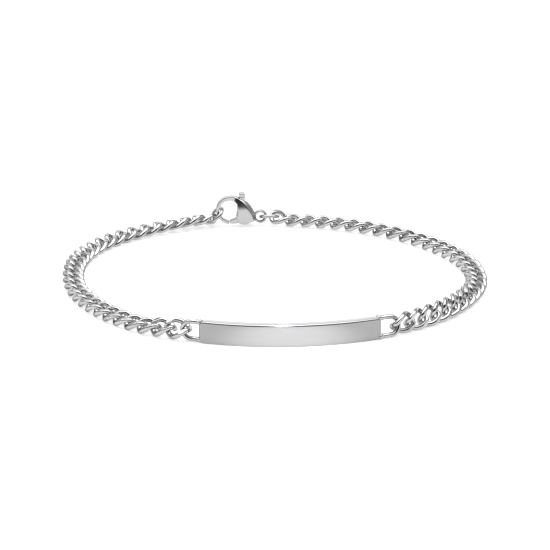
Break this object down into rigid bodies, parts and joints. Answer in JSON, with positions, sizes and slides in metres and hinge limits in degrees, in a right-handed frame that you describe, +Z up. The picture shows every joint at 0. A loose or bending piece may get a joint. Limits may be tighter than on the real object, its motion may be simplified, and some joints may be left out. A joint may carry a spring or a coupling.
{
  "type": "identity bracelet",
  "caption": "Closed identity bracelet: a plain curved bar, two runs of flat curb chain, two rings and a lobster clasp with a sprung lever.",
  "frame": {"origin": "middle of the bracelet's outline, on the plane that it lies on", "axes": "+Z up out of the plane that it lies on, -Y towards the bar, +X towards the run of chain that ends at the clasp's eye"},
  "size_m": [0.0698, 0.0615, 0.0061],
  "materials": {
    "plate_steel": "polished",
    "chain_steel": "polished",
    "ring_steel": "polished",
    "clasp_steel": "polished",
    "pin_steel": "satin"
  },
  "bodies": {
    "bracelet": {"id_plate": "plate_steel", "chain_left": "chain_steel", "chain_right": "chain_steel", "hook_ring": "ring_steel", "eye_ring": "ring_steel", "clasp_body": "clasp_steel", "clasp_pin": "pin_steel"},
    "lever": {"clasp_lever": "clasp_steel"}
  },
  "joints": [
    {"name": "lever_hinge", "type": "hinge", "parent": "bracelet", "child": "lever", "pos_m": [-0.00509, 0.02846, 0.0018], "axis": [-0.0887, 0.9961, 0], "range_deg": [0, 25], "stiffness_Nm_per_rad": 0.004, "springref_deg": -34.38}
  ]
}
